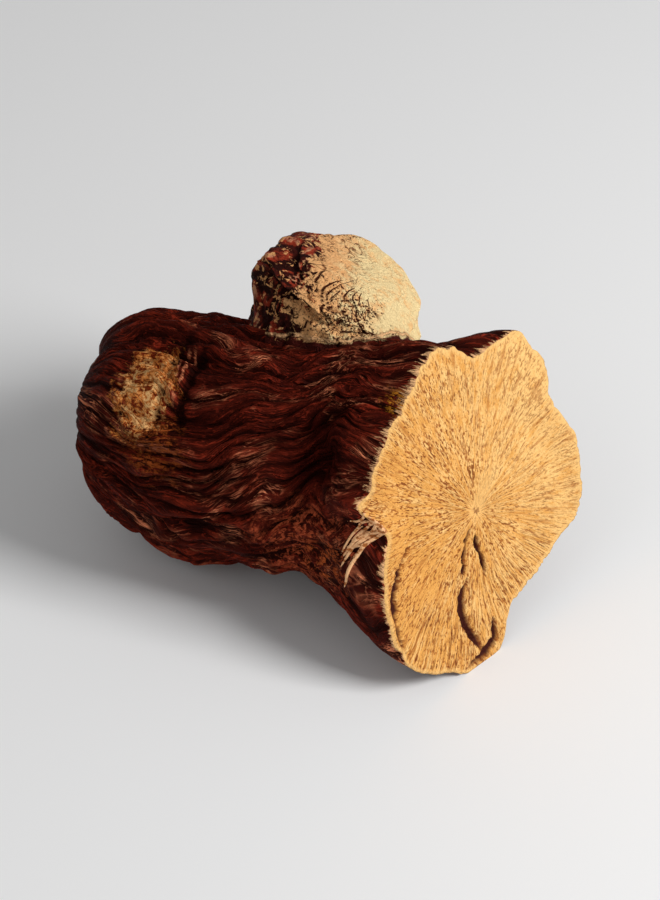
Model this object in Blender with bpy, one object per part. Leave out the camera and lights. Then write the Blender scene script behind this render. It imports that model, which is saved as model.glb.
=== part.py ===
"""Dried inula root: the crown, the thick top of the root, sawn through obliquely and dried.

One grown piece, so one solid: a gnarled body with a sawn face at one end, lobed where side roots leave
it, the stump of a stem on top, and a trimmed side root at the back. Its bark is furrowed along the
grain, and the furrows part round the stem stump and the bud scar.
The body lies along X with the sawn face towards +X. Y runs across it and +Z is up. The origin is on the
surface that it rests on, under the middle of its box.
Lengths are in millimetres and angles in degrees. placed() turns the finished points to metres.
"""

import bmesh
import bpy
import numpy as np

MM = 0.001
# The middle of the sawn face, which the shape is worked out from, as seen from the origin
FACE_FROM_ORIGIN = (24.58, -4.35, 21.3)

# The body: its middle line and girth at stations behind the sawn face
BODY_LENGTH = 62.0
CAP_LENGTH = 12.0  # of its rounded far end
CAP_BLUNTNESS = 2.5  # 2 would round it off as a ball
CAP_LUMPS = ((8.0, 3.4, 21), (4.5, 1.8, 22))  # the rough broken end: size of its lumps, height and seed
CAP_DISH = ((-3.0, -1.0), 6.5, 3.5)  # its middle, size and depth
STATIONS = (-62.0, -52.0, -40.0, -28.0, -18.0, -8.0, 0.0)
GIRTHS = (13.6, 15.6, 16.9, 16.3, 16.0, 16.8, 18.0)
RISES = (-2.0, -1.6, -0.8, 0.0, 0.6, 0.6, 0.0)
SWAYS = (1.5, 0.5, -0.5, 0.0, 0.5, 0.5, 0.0)
MEAN_GIRTH = 17.0  # turns an angle round the body into a distance

# The sawn face: how far it gains on X for each mm of Y and of Z, and the reach of its rim at angles from +Y
# towards +Z
FACE_SLOPES = (0.437, -0.523)
LEAN_LENGTH = 36.0  # the rings of the body turn to its slope over this length
FACE_OUTLINE = (
    (0, 20.0), (9, 19.7), (18, 20.3), (22, 21.6), (26, 23.2), (30, 24.0), (35, 24.6), (39, 24.9),
    (43, 24.5), (47, 23.0), (51, 21.6), (55, 20.4), (62, 20.5), (68, 21.4), (74, 21.7), (82, 19.9),
    (90, 18.1), (98, 17.0), (108, 16.4), (120, 15.6), (132, 15.9), (147, 16.1), (153, 17.5),
    (160, 16.1), (166, 15.1), (172, 14.6), (176, 15.3), (183, 17.1), (188, 18.5), (197, 20.6),
    (204, 22.8), (211, 24.8), (217, 26.0), (225, 26.0), (232, 25.4), (240, 24.9), (248, 23.4),
    (253, 21.5), (257, 19.0), (262, 17.1), (269, 16.2), (278, 15.6), (292, 15.5), (306, 16.0),
    (317, 17.5), (330, 19.0), (340, 19.5), (351, 19.8),
)
LOBE_ANGLE, LOBE_SPREAD = 221.0, 34.0
RIM_FADE, LOBE_FADE = 15.0, 24.0  # how far behind the face its outline still shows

PITH = (0.5, -2.8)  # Y and Z from the middle of the face
# The wood shrinks more than the bark, so the face is a little hollow: its depth, and the share of the way in
# from the rim at which it is reached
FACE_DISH, DISH_REACHED = 0.9, 0.4
# Drying cracks: distances from the pith and the angles at them, greatest depth, and half the width at the top
CRACKS = (
    ((2.5, 13.5, 19.5), (217.0, 226.0, 232.0), 1.5, 0.75),
    ((3.0, 6.5, 10.5), (244.0, 247.0, 249.0), 1.2, 0.6),
    ((15.0, 17.0, 20.0), (245.0, 246.0, 247.0), 1.0, 0.8),
    ((11.0, 17.0, 22.0), (169.0, 184.0, 195.0), 0.9, 0.7),
)
CRACK_TAPER = 2.5  # how far from its ends a crack reaches its full depth

# Swellings and hollows: place along X, angle, height, and size
SWELLINGS = (
    (-49.0, 130.0, 1.3, 8.0),   # bud scar
    (-42.0, 264.0, 4.2, 9.0),   # low swelling that the far end rests on
    (-16.5, 138.0, -5.2, 9.5),  # hollow behind the rim
    (-26.5, 150.0, 1.0, 4.5),   # the ledge at the hollow's far side
    (-25.0, 205.0, 2.0, 7.0),   # lip under the hollow
    (-54.0, 190.0, -2.0, 8.0),
    (-34.0, 100.0, 1.2, 7.0),
    (-15.0, 72.0, 2.2, 8.0),
    (-56.0, 66.0, 0.8, 9.0),
    (-12.0, 345.0, -1.8, 8.0),
    (-42.0, 340.0, 2.0, 8.0),
    (-32.0, 12.0, -1.4, 7.0),
)

# Furrows along the grain, coarse and fine: ridges round the body, how many ridges' widths they stray, over
# what length, their depth, and a seed
FURROWS = ((11, 1.1, 18.0, 1.6, 11), (21, 1.3, 15.0, 1.1, 12))
RIDGE_SHARPNESS = 0.75  # under 1 the furrows are narrower than the ridges between them
RIDGE_MIDDLE = 0.7  # the share of a furrow's depth that lies under the plain shape
RIDGE_HEIGHTS = (0.3, 1.5)  # ridges fade and grow along the grain between these shares of their depth
KNOTS = ((-48.0, 130.0, 6.0), (-27.0, 52.0, 11.0), (-22.0, 338.0, 8.0))  # what the grain parts round
GRAIN_REACH, GRAIN_PARTING = 2.6, 0.75  # how many sizes away a knot turns the grain, and how fully within it
SWEEP = (-40.0, 30.0, 125.0, 55.0, 0.7)  # the grain also sweeps up: from, over, round what angle, spread, by
GRAIN_STEPS, GRAIN_STEP = 60, 0.7  # steps that find the way along the grain, each by this share of the rest
CREASES = ((-42.5, 120.0, 1.2), (-40.0, 126.0, 1.0))  # across the grain beside the scar: place, angle, depth
CREASE_HALF_WIDTH, CREASE_REACH = 1.2, 7.0
RIDGES_LEFT_AT_RIM = 0.3  # sawing and drying have worn the ridges down there

# How finely it is made: points round the body, and rings over its far cap, its bark and its sawn face
N_AROUND = 108
N_CAP, N_BARK, N_FACE = 8, 34, 6
N_STEM_AROUND, N_STEM_ALONG = 44, 22
N_SIDE_AROUND, N_SIDE_ALONG = 30, 15

# The stem stump and the side root: a middle line, and the girth along it
STEM_LINE = ((-26.5, 3.0, 1.0), (-28.0, 11.0, 9.0), (-26.3, 16.9, 15.8), (-24.2, 18.3, 20.2))
STEM_GIRTHS = (9.0, 11.6, 13.5, 13.3)
STEM_BLUNTNESS = 0.53
STEM_LUMPS = ((5, 5, 0.16, 275), (11, 9, 0.20, 10))  # round and along the stump, depth against girth, seed
STEM_RINGS = (7, 0.06)  # the scars of old leaves run round it: how many rings, and their depth against girth
SIDE_LINE = ((-22.0, 6.0, -5.0), (-22.0, 13.0, -10.2), (-24.0, 20.0, -14.8), (-27.0, 27.0, -16.2))
SIDE_GIRTHS = (8.5, 7.2, 6.4, 6.0)
SIDE_LENGTH = 24.0
SIDE_CAPS = (0.12, 0.80)  # shares of its rings at which its inner end stops and its sawn end starts
SIDE_FURROWS = ((7, 1.0, 12.0, 1.4, 41),)

SLAB_SIZE = (300.0, 300.0, 100.0)  # what is cut away below the surface that the root rests on

FIELD_ROWS = 64  # a random lattice repeats along itself after so many cells
AHEAD = 0.01  # the step along a middle line, as a share of it, that its direction is measured over

BARK_COLOUR, BARK_ROUGHNESS = (0.19, 0.075, 0.028, 1.0), 0.8


def smoothstep(x):
    """0 below 0, 1 above 1, and a smooth rise between."""
    x = np.clip(x, 0.0, 1.0)
    return x * x * (3.0 - 2.0 * x)


def wrapped(angle):
    """An angle in radians as the same one between -pi and pi."""
    return (angle + np.pi) % (2 * np.pi) - np.pi


def through(stations, values, at):
    """A smooth curve through values at stations: cubic pieces whose slopes come from the neighbours."""
    stations, values = np.asarray(stations, float), np.asarray(values, float)
    slopes = np.gradient(values, stations, axis=0)
    i = np.clip(np.searchsorted(stations, at) - 1, 0, len(stations) - 2)
    span = stations[i + 1] - stations[i]
    s = np.clip((at - stations[i]) / span, 0.0, 1.0)
    if values.ndim == 2:
        s, span = s[..., None], span[..., None]
    return (
        (1 + 2 * s) * (1 - s) ** 2 * values[i]
        + s * (1 - s) ** 2 * span * slopes[i]
        + s * s * (3 - 2 * s) * values[i + 1]
        + s * s * (s - 1) * span * slopes[i + 1]
    )


def random_field(around, along, cells, seed):
    """Random values from 0 to 1 on a lattice, blended smoothly. around repeats every so many cells."""
    table = np.random.default_rng(seed).random((cells, FIELD_ROWS))
    i, j = np.floor(around).astype(int), np.floor(along).astype(int)
    u, v = smoothstep(around - i), smoothstep(along - j)
    i, j, next_i, next_j = i % cells, j % FIELD_ROWS, (i + 1) % cells, (j + 1) % FIELD_ROWS
    low = table[i, j] * (1 - u) + table[next_i, j] * u
    high = table[i, next_j] * (1 - u) + table[next_i, next_j] * u
    return low * (1 - v) + high * v


def grain(angle, x):
    """The angle that the grain at a point comes from: it sweeps up one side and parts round knots as water."""
    start, length, degrees, spread, turn = SWEEP
    off = wrapped(angle - np.radians(degrees)) / np.radians(spread)
    shifted = angle + turn * smoothstep((x - start) / length) * np.exp(-(off**2))
    for place, degrees, size in KNOTS:
        across = wrapped(angle - np.radians(degrees)) * MEAN_GIRTH
        far = across**2 + (x - place) ** 2
        parting = size**2 / (far + size**2) * np.exp(-far / (GRAIN_REACH * size) ** 2)
        shifted -= across / MEAN_GIRTH * GRAIN_PARTING * parting
    return shifted


def along_grain(source, x):
    """The angle where the grain from a source angle has got to. It undoes grain(), step by step."""
    angle = source.copy()
    for _ in range(GRAIN_STEPS):
        angle -= GRAIN_STEP * (grain(angle, x) - source)
    return angle


def furrowed(turn, along, furrows):
    """Height of the bark over the plain shape, in mm: rounded ridges that stray and fade along the grain."""
    height = np.zeros_like(turn)
    lowest, highest = RIDGE_HEIGHTS
    for count, sway, length, depth, seed in furrows:
        stray = sway * (random_field(turn * (count // 2), along / length, count // 2, seed) - 0.5)
        fade = random_field(turn * count + stray, along / length + 7, count, seed + 1)
        ridge = np.abs(np.sin(np.pi * (turn * count + stray))) ** RIDGE_SHARPNESS
        height += depth * (ridge - RIDGE_MIDDLE) * (lowest + (highest - lowest) * fade)
    return height


def face_reach(angle):
    """The reach of the sawn face's rim at each angle, smooth all the way round."""
    degrees, reach = np.array(FACE_OUTLINE, float).T
    stations = np.concatenate([degrees[-3:] - 360, degrees, degrees[:3] + 360])
    return through(stations, np.concatenate([reach[-3:], reach, reach[:3]]), np.degrees(angle) % 360)


def bark_reach(angle, turn, t):
    """How far the bark is from the body's middle line, at t mm along it. The grain there comes from turn."""
    reach = through(STATIONS, GIRTHS, t)
    for place, degrees, height, size in SWELLINGS:
        across = wrapped(angle - np.radians(degrees)) * MEAN_GIRTH
        reach += height * np.exp(-(across**2 + (t - place) ** 2) / size**2)
    off_lobe = wrapped(angle - np.radians(LOBE_ANGLE)) / np.radians(LOBE_SPREAD)
    fade = RIM_FADE + (LOBE_FADE - RIM_FADE) * np.exp(-(off_lobe**2))
    to_face = smoothstep(1 + t / fade)
    reach = reach * (1 - to_face) + face_reach(angle) * to_face
    cap_end = CAP_LENGTH - BODY_LENGTH
    into_cap = np.clip((cap_end - t) / CAP_LENGTH, 0, 1)
    closing = (1 - into_cap**CAP_BLUNTNESS) ** (1 / CAP_BLUNTNESS)
    ridges = furrowed(turn, t, FURROWS)
    for place, degrees, depth in CREASES:
        across = wrapped(angle - np.radians(degrees)) * MEAN_GIRTH
        groove = np.clip(1 - np.abs(t - place) / CREASE_HALF_WIDTH, 0, 1)
        ridges = ridges - depth * groove * np.exp(-((across / CREASE_REACH) ** 2))
    return (reach + ridges * closing**2 * (1 - (1 - RIDGES_LEFT_AT_RIM) * to_face)) * closing


def face_relief(y, z, inward):
    """Depth of the sawn face under its plane, in mm: a shallow dish, and cracks with sloping sides."""
    depth = FACE_DISH * smoothstep(inward / DISH_REACHED)
    angle, off_pith = np.arctan2(z - PITH[1], y - PITH[0]), np.hypot(y - PITH[0], z - PITH[1])
    for stations, degrees, deepest, half_width in CRACKS:
        across = np.abs(wrapped(angle - np.radians(through(stations, degrees, off_pith)))) * off_pith
        from_ends = np.minimum(off_pith - stations[0], stations[-1] - off_pith)
        depth += deepest * smoothstep(from_ends / CRACK_TAPER) * np.clip(1 - across / half_width, 0, 1)
    return depth * (inward > 0)


def cap_relief(y, z, into_cap):
    """How far the broken far end is pushed in along X, in mm: lumps, and a shallow dish."""
    (dish_y, dish_z), size, depth = CAP_DISH
    middle = FIELD_ROWS / 2
    pushed = depth * np.exp(-((y - dish_y) ** 2 + (z - dish_z) ** 2) / size**2)
    for size, height, seed in CAP_LUMPS:
        pushed += height * (random_field(y / size + middle, z / size + middle, FIELD_ROWS, seed) - 0.5)
    return pushed * smoothstep(into_cap)


def body(source, share):
    """The body: the rings of a ball shared out over its far cap, its bark and its sawn face.

    The ball's lines from pole to pole follow the grain, from source angles at its far end."""
    ring = share * (N_CAP + N_BARK + N_FACE)
    cap = np.clip(ring / N_CAP, 0, 1)
    bark = np.clip((ring - N_CAP) / N_BARK, 0, 1)
    inward = np.clip((ring - N_CAP - N_BARK) / N_FACE, 0, 1)
    t = bark * (BODY_LENGTH - CAP_LENGTH) - BODY_LENGTH + CAP_LENGTH * (1 - np.cos(cap * np.pi / 2))
    angle = along_grain(source, t)
    reach = bark_reach(angle, source / (2 * np.pi), t) * (1 - inward)
    y = reach * np.cos(angle) + PITH[0] * inward
    z = reach * np.sin(angle) + PITH[1] * inward
    lean = smoothstep(1 + t / LEAN_LENGTH)
    x = t + lean * (FACE_SLOPES[0] * y + FACE_SLOPES[1] * z)
    x += cap_relief(y, z, 1 - cap) - face_relief(y, z, inward)
    return np.stack([x, y + through(STATIONS, SWAYS, t), z + through(STATIONS, RISES, t)], axis=-1)


def carried(angle, at, line, girths):
    """A smooth line's points, girths and outward directions at each angle, at = 0 to 1 from start to end."""
    steps = np.linspace(0, 1, len(line))
    centre = through(steps, line, at)
    ahead = through(steps, line, np.clip(at + AHEAD, 0, 1)) - through(steps, line, np.clip(at - AHEAD, 0, 1))
    ahead /= np.linalg.norm(ahead, axis=1, keepdims=True)
    side = np.cross((1.0, 0.0, 0.0), ahead)
    side /= np.linalg.norm(side, axis=1, keepdims=True)
    over = np.cross(ahead, side)
    reach = through(steps, girths, at)
    return centre, reach, np.cos(angle)[:, None] * side + np.sin(angle)[:, None] * over


def stem_stump(angle, share):
    """The stump of a stem: a short knob, lumpy with the bases of old leaves, with a blunt broken top."""
    at = np.clip((1 - np.cos(share * np.pi)) / 2, 0, 1)
    centre, reach, outward = carried(angle, at, STEM_LINE, STEM_GIRTHS)
    turn = angle / (2 * np.pi)
    rings, ring_depth = STEM_RINGS
    relief = 1 - ring_depth * np.abs(np.cos(np.pi * rings * share + np.sin(angle)))
    for around, along, depth, seed in STEM_LUMPS:
        relief += depth * (random_field(turn * around, share * along, around, seed) - 0.5)
    closing = np.sin(np.pi * share) ** STEM_BLUNTNESS
    return centre + outward * (reach * closing * relief)[:, None]


def side_root(angle, share):
    """A side root that was trimmed: a furrowed stub that tapers to a sawn end."""
    starts, ends = SIDE_CAPS
    at = np.clip((share - starts) / (ends - starts), 0, 1)
    centre, reach, outward = carried(angle, at, SIDE_LINE, SIDE_GIRTHS)
    closing = np.clip(share / starts, 0, 1) * np.clip((1 - share) / (1 - ends), 0, 1)
    ridges = furrowed(angle / (2 * np.pi), at * SIDE_LENGTH, SIDE_FURROWS)
    return centre + outward * ((reach + ridges) * closing)[:, None]


def placed(points):
    """Millimetres from the middle of the sawn face to metres from the origin."""
    return (points + np.array(FACE_FROM_ORIGIN)) * MM


def ball(name, segments, rings, carry):
    """A UV sphere whose points carry(angle, share) moves: angle round its axis, share from pole to pole."""
    bm = bmesh.new()
    bmesh.ops.create_uvsphere(bm, u_segments=segments, v_segments=rings, radius=1.0)
    points = np.array([vert.co for vert in bm.verts], float)
    angle = np.arctan2(points[:, 1], points[:, 0])
    share = 1 - np.arccos(np.clip(points[:, 2], -1, 1)) / np.pi
    for vert, place in zip(bm.verts, placed(carry(angle, share))):
        vert.co = place
    bmesh.ops.recalc_face_normals(bm, faces=bm.faces)
    mesh = bpy.data.meshes.new(name)
    bm.to_mesh(mesh)
    bm.free()
    return bpy.data.objects.new(name, mesh)


def floor_slab():
    """What lies below the surface that the root rests on: cutting it away leaves three small flat spots."""
    width, depth, height = (size * MM for size in SLAB_SIZE)
    bpy.ops.mesh.primitive_cube_add(size=1.0, location=(0.0, 0.0, -height / 2))
    slab = bpy.context.object
    slab.name = "floor_slab"
    slab.scale = (width, depth, height)
    return slab


def boolean(obj, other, operation):
    """Joins another shape to an object, or cuts it away."""
    modifier = obj.modifiers.new(other.name, "BOOLEAN")
    modifier.operation = operation
    modifier.solver = "EXACT"
    modifier.object = other


def bark_material():
    """Dry bark: red-brown and dull."""
    material = bpy.data.materials.new("bark")
    material.use_nodes = True
    shader = material.node_tree.nodes["Principled BSDF"]
    shader.inputs["Base Color"].default_value = BARK_COLOUR
    shader.inputs["Roughness"].default_value = BARK_ROUGHNESS
    return material


def build():
    """Makes the root's one solid, with the shapes that are joined to it and cut from it beside it."""
    for obj in list(bpy.data.objects):
        bpy.data.objects.remove(obj)
    kept = bpy.data.collections.new("dried_inula_root")
    helpers = bpy.data.collections.new("helpers")
    for collection in (kept, helpers):
        bpy.context.scene.collection.children.link(collection)

    root = ball("root_crown", N_AROUND, N_CAP + N_BARK + N_FACE, body)
    root.data.materials.append(bark_material())
    kept.objects.link(root)

    stem = ball("stem_stump", N_STEM_AROUND, N_STEM_ALONG, stem_stump)
    side = ball("side_root", N_SIDE_AROUND, N_SIDE_ALONG, side_root)
    for helper in (stem, side):
        helpers.objects.link(helper)
        boolean(root, helper, "UNION")
    slab = floor_slab()
    boolean(root, slab, "DIFFERENCE")
    for helper in (stem, side, slab):
        helper.hide_render = True
        helper.display_type = "WIRE"


build()
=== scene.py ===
"""Dried inula root: the crown, sawn through at a slant and dried. Lengths are in mm until placed()."""

import bmesh
import bpy
import numpy as np
from mathutils import Matrix


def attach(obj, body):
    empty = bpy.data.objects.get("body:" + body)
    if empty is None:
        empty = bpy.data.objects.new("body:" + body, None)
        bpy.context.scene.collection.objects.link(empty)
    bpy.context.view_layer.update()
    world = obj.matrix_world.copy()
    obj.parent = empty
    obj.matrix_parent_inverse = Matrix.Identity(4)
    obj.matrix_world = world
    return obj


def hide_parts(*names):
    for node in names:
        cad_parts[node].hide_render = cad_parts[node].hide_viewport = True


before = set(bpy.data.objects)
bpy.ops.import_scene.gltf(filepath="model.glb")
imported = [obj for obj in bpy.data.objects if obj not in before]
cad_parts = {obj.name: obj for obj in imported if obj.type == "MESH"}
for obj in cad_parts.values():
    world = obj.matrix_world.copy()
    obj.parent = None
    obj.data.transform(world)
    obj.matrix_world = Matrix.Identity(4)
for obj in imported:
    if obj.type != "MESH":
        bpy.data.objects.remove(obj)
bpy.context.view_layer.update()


# The body of the crown is the thick top of the root. It grew as one piece with the wood inside it, and it is
# lobed where side roots leave it. Its thin bark shrank as it dried, into ridges and furrows along the grain.
MM = 0.001
FACE_FROM_ORIGIN = (24.58, -4.35, 21.3)  # the middle of the sawn face, as seen from the origin

BODY_LENGTH = 62.0
CAP_LENGTH = 12.0  # of its rounded far end
CAP_BLUNTNESS = 2.5  # 2 would round it off as a ball
CAP_LUMPS = ((8.0, 3.4, 21), (4.5, 1.8, 22), (1.6, 0.5, 23))  # the far end: size of its lumps, height, seed
CAP_DISH = ((-3.0, -1.0), 6.5, 3.5)  # its middle, size and depth
STATIONS = (-62.0, -52.0, -40.0, -28.0, -18.0, -8.0, 0.0)  # along the body, with the sawn face at 0
GIRTHS = (13.6, 15.6, 16.9, 16.3, 16.0, 16.8, 18.0)  # from its middle line to the bark there
RISES = (-2.0, -1.6, -0.8, 0.0, 0.6, 0.6, 0.0)  # and how far the middle line is up in Z
SWAYS = (1.5, 0.5, -0.5, 0.0, 0.5, 0.5, 0.0)  # and over in Y
MEAN_GIRTH = 17.0  # turns an angle round the body into a distance

# Swellings and hollows: place along the body, angle from +Y towards +Z in degrees, height, and size
SWELLINGS = (
    (-49.0, 130.0, 1.3, 8.0),  # bud scar
    (-42.0, 264.0, 4.2, 9.0),  # low swelling that the far end rests on
    (-16.5, 138.0, -5.2, 9.5),  # hollow behind the rim
    (-26.5, 150.0, 1.0, 4.5),  # the ledge at the hollow's far side
    (-25.0, 205.0, 2.0, 7.0),  # lip under the hollow
    (-54.0, 190.0, -2.0, 8.0),
    (-34.0, 100.0, 1.2, 7.0),
    (-15.0, 72.0, 2.2, 8.0),
    (-56.0, 66.0, 0.8, 9.0),
    (-12.0, 345.0, -1.8, 8.0),
    (-42.0, 340.0, 2.0, 8.0),
    (-32.0, 12.0, -1.4, 7.0),
)

# Furrows and wrinkles along the grain, from coarse to fine: how many ridges go round the body, how many of
# their widths they stray, over what length, their depth, and a seed
FURROWS = ((11, 1.1, 18.0, 1.6, 11), (21, 1.3, 15.0, 1.1, 12))
WRINKLES = ((44, 1.6, 9.0, 0.75, 13), (86, 1.8, 6.0, 0.6, 14))
RIDGE_SHARPNESS = 0.75  # under 1 the furrows are narrower than the ridges between them
RIDGE_MIDDLE = 0.7  # the share of a furrow's depth that lies under the plain shape
RIDGE_HEIGHTS = (0.3, 1.5)  # ridges fade and grow along the grain between these shares of their depth
KNOTS = ((-48.0, 130.0, 6.0), (-27.0, 52.0, 11.0), (-22.0, 338.0, 8.0))  # of the grain: place, angle, size
GRAIN_REACH, GRAIN_PARTING = 2.6, 0.75  # how many sizes away a knot turns the grain, and how fully close by
SWEEP = (-40.0, 30.0, 125.0, 55.0, 0.7)  # it also sweeps up: from, over, angle, spread, turn
GRAIN_WAVES = (24, 5.0, 0.028, 15)  # its small waves: how many go round, their length, turn and seed
CREASES = ((-43.9, 116.0, 0.8), (-40.2, 118.0, 0.8))  # across the grain beside the scar: place, angle, depth
CREASE_HALF_WIDTH, CREASE_REACH = 0.9, 7.0  # their width, and how far round the body they go
RIDGES_LEFT_AT_RIM = 0.3  # sawing and drying have worn the ridges down there
PITS = ((2.6, 0.55, 51), (1.2, 0.22, 52))  # lumps of the bark: size, height and seed
# The colours read this height, painting shade into the furrows and highlight onto the ridges
PLAIN_HEIGHT = 0.6  # of bark that is neither ridge nor furrow, as its colours read it
FURROW_SHOW, WRINKLE_SHOW = 0.08, 0.5  # how much a mm of furrow and of wrinkle adds to that

FACE_SLOPES = (0.437, -0.523)  # how far the sawn face gains on X for each mm of Y and of Z
LEAN_LENGTH = 36.0  # the rings of the body turn to its slope over this length
FACE_OUTLINE = (  # angle from +Y towards +Z, and the reach of the rim there
    (0, 20.0), (9, 19.7), (18, 20.3), (22, 21.6), (26, 23.2), (30, 24.0), (35, 24.6), (39, 24.9),
    (43, 24.5), (47, 23.0), (51, 21.6), (55, 20.4), (62, 20.5), (68, 21.4), (74, 21.7), (82, 19.9),
    (90, 18.1), (98, 17.0), (108, 16.4), (120, 15.6), (132, 15.9), (147, 16.1), (153, 17.5),
    (160, 16.1), (166, 15.1), (172, 14.6), (176, 15.3), (183, 17.1), (188, 18.5), (197, 20.6),
    (204, 22.8), (211, 24.8), (217, 26.0), (225, 26.0), (232, 25.4), (240, 24.9), (248, 23.4),
    (253, 21.5), (257, 19.0), (262, 17.1), (269, 16.2), (278, 15.6), (292, 15.5), (306, 16.0),
    (317, 17.5), (330, 19.0), (340, 19.5), (351, 19.8),
)
LOBE_ANGLE, LOBE_SPREAD = 221.0, 34.0  # the lobe that hangs under the face
RIM_FADE, LOBE_FADE = 15.0, 24.0  # how far behind the face its outline still shows
RIM_RAGGEDNESS = ((47, 0.6, 61), (131, 0.32, 62))  # the torn rim: teeth round it, their depth and seed
RAGGED_LENGTH = 1.6  # how far the teeth run back over the bark
RAGGED_SIDE, LEAST_RAGGED = 140.0, 0.3  # the rim is most torn on this side, and this share as torn elsewhere
TOOTH_MIDDLE = 0.6  # the share of a tooth that lies under the plain rim

PITH = (0.5, -2.8)  # Y and Z from the middle of the face
FACE_DISH = 0.9  # how far its wood has sunk
DISH_RATE, CRACK_RATE = 2.5, 8.0  # how soon the dish and the cracks get to their depth, going in from the rim
# Drying cracks: their points in Y and Z from the pith, and half the width at the top
CRACKS = (
    (((-1.4, -1.4), (-3.7, -2.7), (-5.1, -4.5), (-6.1, -6.4), (-6.9, -9.1)), 0.42),
    (((-5.9, -7.4), (-8.2, -9.2), (-9.5, -10.9), (-10.2, -13.1), (-10.3, -15.3), (-9.9, -17.9)), 0.8),
    (((-1.8, -2.4), (-2.4, -4.9), (-2.9, -7.5), (-3.7, -9.6)), 0.48),
    (((-5.9, -14.2), (-7.4, -16.7), (-9.3, -17.4), (-11.8, -17.7), (-13.9, -18.1)), 0.6),
    (((-12.1, 1.6), (-15.1, -0.3), (-18.4, -2.8), (-19.8, -4.9), (-20.6, -7.6), (-21.0, -10.9)), 0.5),
)
CRACK_DEPTH, CRACK_TIP = 1.7, 0.15  # a crack's ends have this share of its width
CRACK_EDGE = (0.5, 0.9, 81)  # how ragged its edges are, over what length, and a seed
FACE_RAYS = ((20, 0.45, 73), (64, 0.2, 71), (150, 0.12, 72))  # its fibres: rays round it, height and seed
RAY_LENGTH, RAYS_FROM = 5.0, 6.0  # the rays' length, and where they get full height

N_AROUND = 380
N_CAP, N_BARK, N_FACE = 22, 124, 54
N_BODY = N_CAP + N_BARK + N_FACE
FIELD_CELLS = 64  # a random field repeats along its second direction after this many cells
BARK, SAWN_FACE, STUMP_SKIN, SAWN_END = range(4)  # the material slots of the crown


def smoothstep(x):
    """0 below 0, 1 above 1, and a smooth rise between."""
    x = np.clip(x, 0.0, 1.0)
    return x * x * (3.0 - 2.0 * x)


def wrapped(angle):
    """An angle in radians as the same one between -pi and pi."""
    return (angle + np.pi) % (2 * np.pi) - np.pi


def through(stations, values, at):
    """A smooth curve through values at stations: cubic pieces whose slopes come from the neighbours."""
    stations, values = np.asarray(stations, float), np.asarray(values, float)
    slopes = np.gradient(values, stations, axis=0)
    i = np.clip(np.searchsorted(stations, at) - 1, 0, len(stations) - 2)
    span = stations[i + 1] - stations[i]
    s = np.clip((at - stations[i]) / span, 0.0, 1.0)
    if values.ndim == 2:
        s, span = s[..., None], span[..., None]
    return (
        (1 + 2 * s) * (1 - s) ** 2 * values[i]
        + s * (1 - s) ** 2 * span * slopes[i]
        + s * s * (3 - 2 * s) * values[i + 1]
        + s * s * (s - 1) * span * slopes[i + 1]
    )


def random_field(around, along, cells, seed):
    """Random values from 0 to 1 on a lattice, blended smoothly. around repeats every so many cells."""
    table = np.random.default_rng(seed).random((cells, FIELD_CELLS))
    i, j = np.floor(around).astype(int), np.floor(along).astype(int)
    u, v = smoothstep(around - i), smoothstep(along - j)
    i, next_i = i % cells, (i + 1) % cells
    j, next_j = j % FIELD_CELLS, (j + 1) % FIELD_CELLS
    low = table[i, j] * (1 - u) + table[next_i, j] * u
    high = table[i, next_j] * (1 - u) + table[next_i, next_j] * u
    return low * (1 - v) + high * v


def flat_field(y, z, size, seed):
    """The same over a flat cut across the root: random values whose lumps are size mm wide."""
    middle = FIELD_CELLS // 2
    return random_field(y / size + middle, z / size + middle, FIELD_CELLS, seed)


def across_from(angle, degrees):
    """How far round the body each angle is from one in degrees, in mm at its mean girth."""
    return wrapped(angle - np.radians(degrees)) * MEAN_GIRTH


def grain(angle, x):
    """The angle that the grain at a point comes from: it sweeps up one side, and parts round knots."""
    start, length, degrees, spread, turn = SWEEP
    off = wrapped(angle - np.radians(degrees)) / np.radians(spread)
    shifted = angle + turn * smoothstep((x - start) / length) * np.exp(-(off**2))
    for place, degrees, size in KNOTS:
        across = across_from(angle, degrees)
        far = across**2 + (x - place) ** 2
        parting = size**2 / (far + size**2) * np.exp(-far / (GRAIN_REACH * size) ** 2)
        shifted -= across / MEAN_GIRTH * GRAIN_PARTING * parting
    return shifted


def along_grain(source, x):
    """The angle where the grain from a source angle has got to, in each row of a grid. It undoes grain()."""
    fine = np.linspace(-2 * np.pi, 2 * np.pi, 1601)
    return np.stack([np.interp(row, grain(fine, at), fine) for row, at in zip(source, x[:, :1])])


def waved(turn, along):
    """Where the grain is round the body, in turns, with its small waves."""
    cells, length, size, seed = GRAIN_WAVES
    return turn + size * (random_field(turn * cells, along / length, cells, seed) - 0.5)


def furrowed(turn, along, furrows):
    """Height of the bark over the plain shape, in mm: rounded ridges that stray and fade along the grain."""
    height = np.zeros_like(turn)
    lowest, highest = RIDGE_HEIGHTS
    for count, sway, length, depth, seed in furrows:
        stray = sway * (random_field(turn * (count // 2), along / length, count // 2, seed) - 0.5)
        fade = random_field(turn * count + stray, along / length + 7, count, seed + 1)
        ridge = np.abs(np.sin(np.pi * (turn * count + stray))) ** RIDGE_SHARPNESS
        height += depth * (ridge - RIDGE_MIDDLE) * (lowest + (highest - lowest) * fade)
    return height


def face_reach(angle):
    """The reach of the sawn face's rim at each angle, smooth all the way round."""
    degrees, reach = np.array(FACE_OUTLINE, float).T
    stations = np.concatenate([degrees[-3:] - 360, degrees, degrees[:3] + 360])
    return through(stations, np.concatenate([reach[-3:], reach, reach[:3]]), np.degrees(angle) % 360)


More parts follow.
